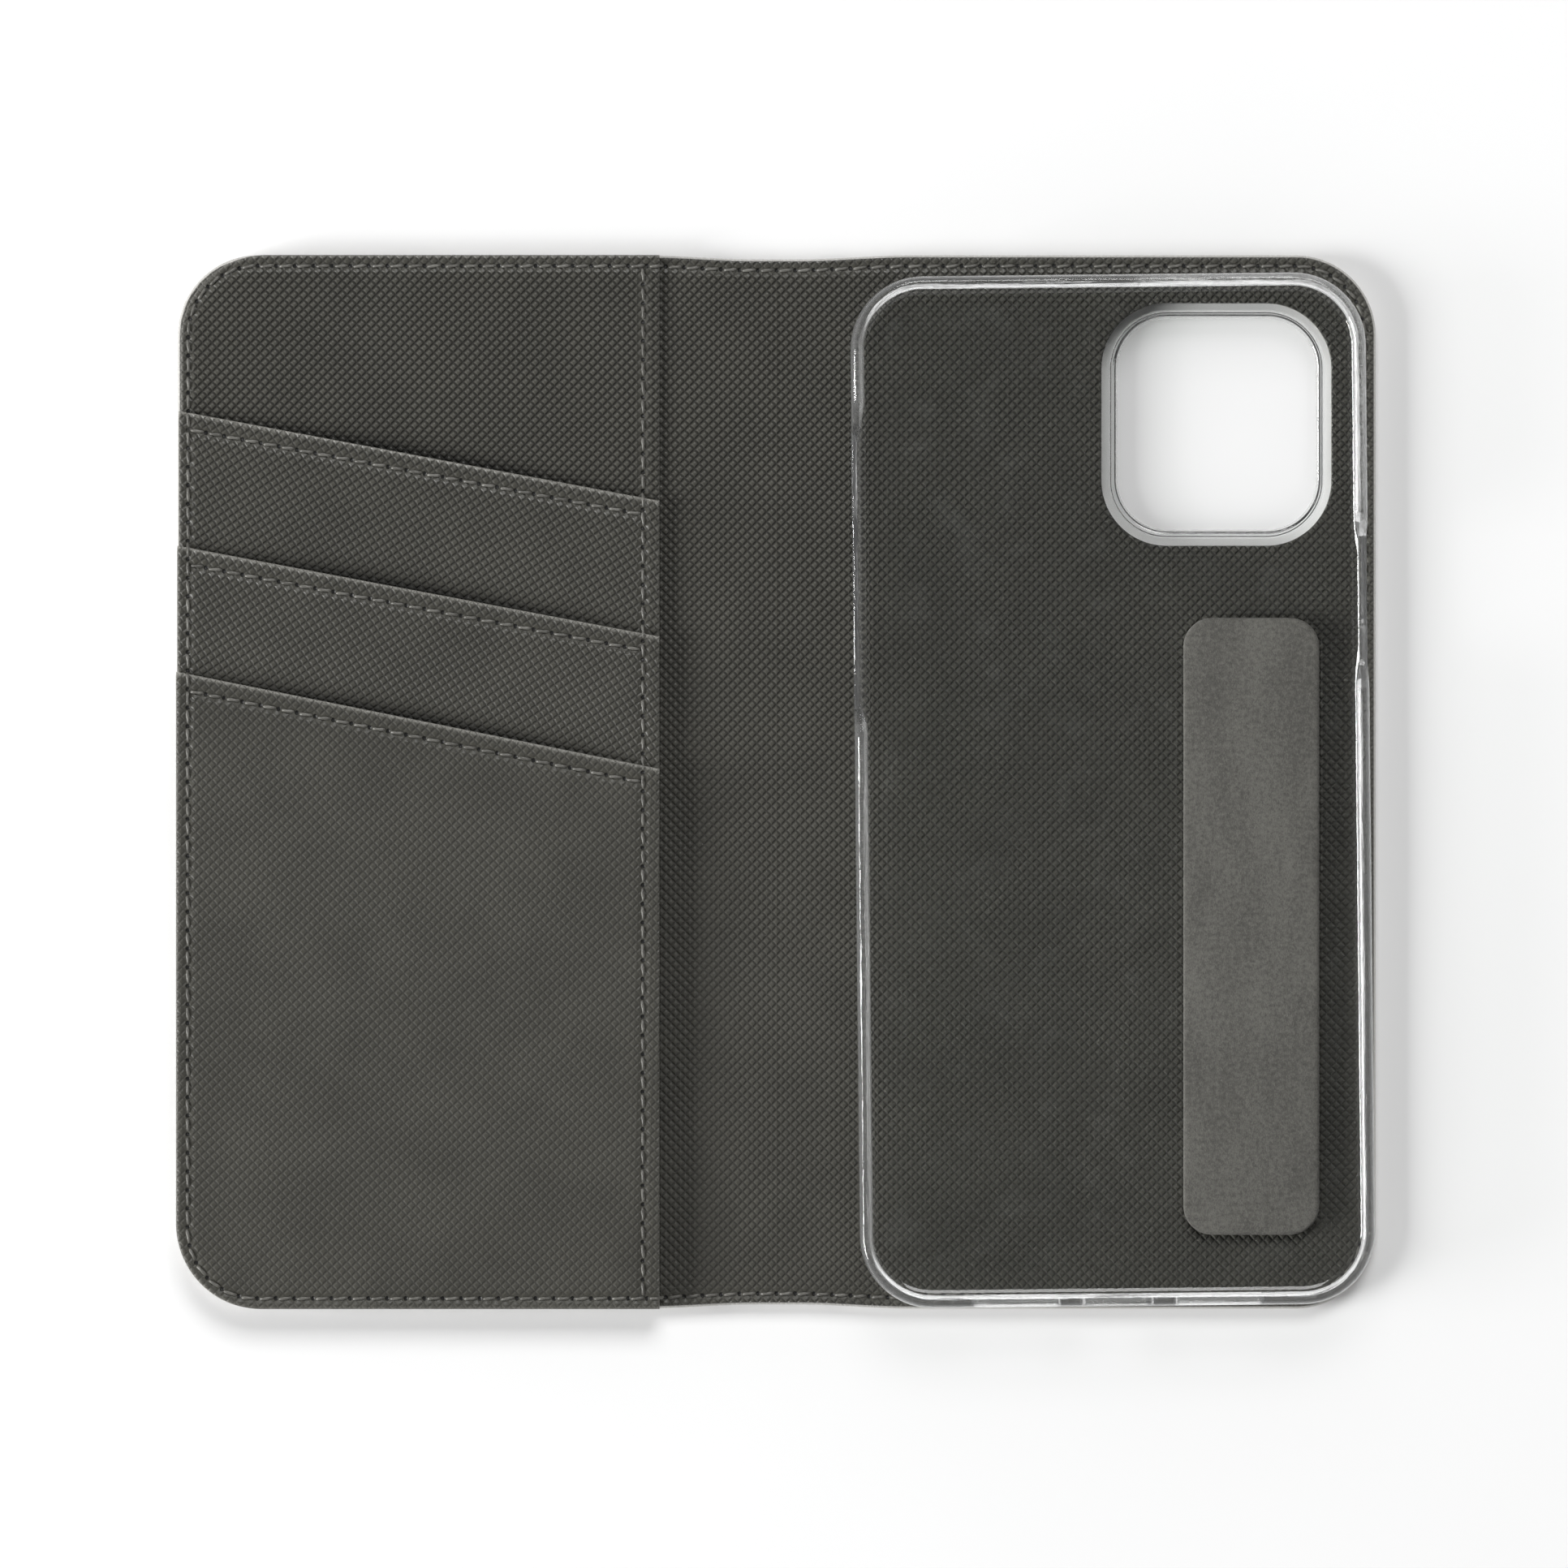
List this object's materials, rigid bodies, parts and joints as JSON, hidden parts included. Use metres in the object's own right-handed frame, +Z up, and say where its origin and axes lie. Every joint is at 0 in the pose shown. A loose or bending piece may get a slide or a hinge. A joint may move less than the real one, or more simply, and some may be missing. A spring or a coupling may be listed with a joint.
{
  "type": "phone wallet case",
  "caption": "Folio wallet case lying open, with slanted card pockets inside the front cover, a padded spine and a clear phone tray on the back cover.",
  "frame": {"origin": "centre of the open case's outline, in the plane it lies on", "axes": "+X from the pocket cover to the tray cover, +Y to the camera end, +Z up out of the pockets and the tray"},
  "size_m": [0.174, 0.153, 0.0132],
  "materials": {
    "outer_skin": "smooth light synthetic leather",
    "board": "raw pressed board",
    "liner": "cross-hatch embossed synthetic leather",
    "clear_plastic": "clear polycarbonate",
    "adhesive": "clear adhesive film",
    "suede": "short-nap microsuede",
    "thread": "bonded sewing thread",
    "steel": "rolled sheet",
    "magnet": "plated"
  },
  "bodies": {
    "back_cover": {"back_skin": "outer_skin", "back_board": "board", "back_liner": "liner", "back_edge_thread": "thread", "tray_bond_film": "adhesive", "phone_tray": "clear_plastic", "closure_plate": "steel", "suede_strip": "suede"},
    "spine": {"spine_skin": "outer_skin", "spine_board": "board", "spine_liner": "liner", "spine_top_thread": "thread", "spine_bottom_thread": "thread", "front_fold_strip": "liner", "back_fold_strip": "liner"},
    "front_cover": {"front_skin": "outer_skin", "front_board": "board", "front_liner": "liner", "upper_magnet": "magnet", "lower_magnet": "magnet", "front_edge_thread": "thread", "slip_pocket_panel": "liner", "upper_card_pocket": "liner", "middle_card_pocket": "liner", "lower_card_pocket": "liner", "upper_hem_thread": "thread", "middle_hem_thread": "thread", "lower_hem_thread": "thread", "pocket_side_thread": "thread"}
  },
  "joints": [
    {"name": "spine_fold", "type": "hinge", "parent": "back_cover", "child": "spine", "pos_m": [0.0085, 0, 0.0014], "axis": [0, 1, 0], "range_deg": [-90, 90], "deforming": ["back_fold_strip"]},
    {"name": "front_fold", "type": "hinge", "parent": "spine", "child": "front_cover", "pos_m": [-0.0085, 0, 0.0014], "axis": [0, 1, 0], "range_deg": [-90, 90], "deforming": ["front_fold_strip"]}
  ]
}
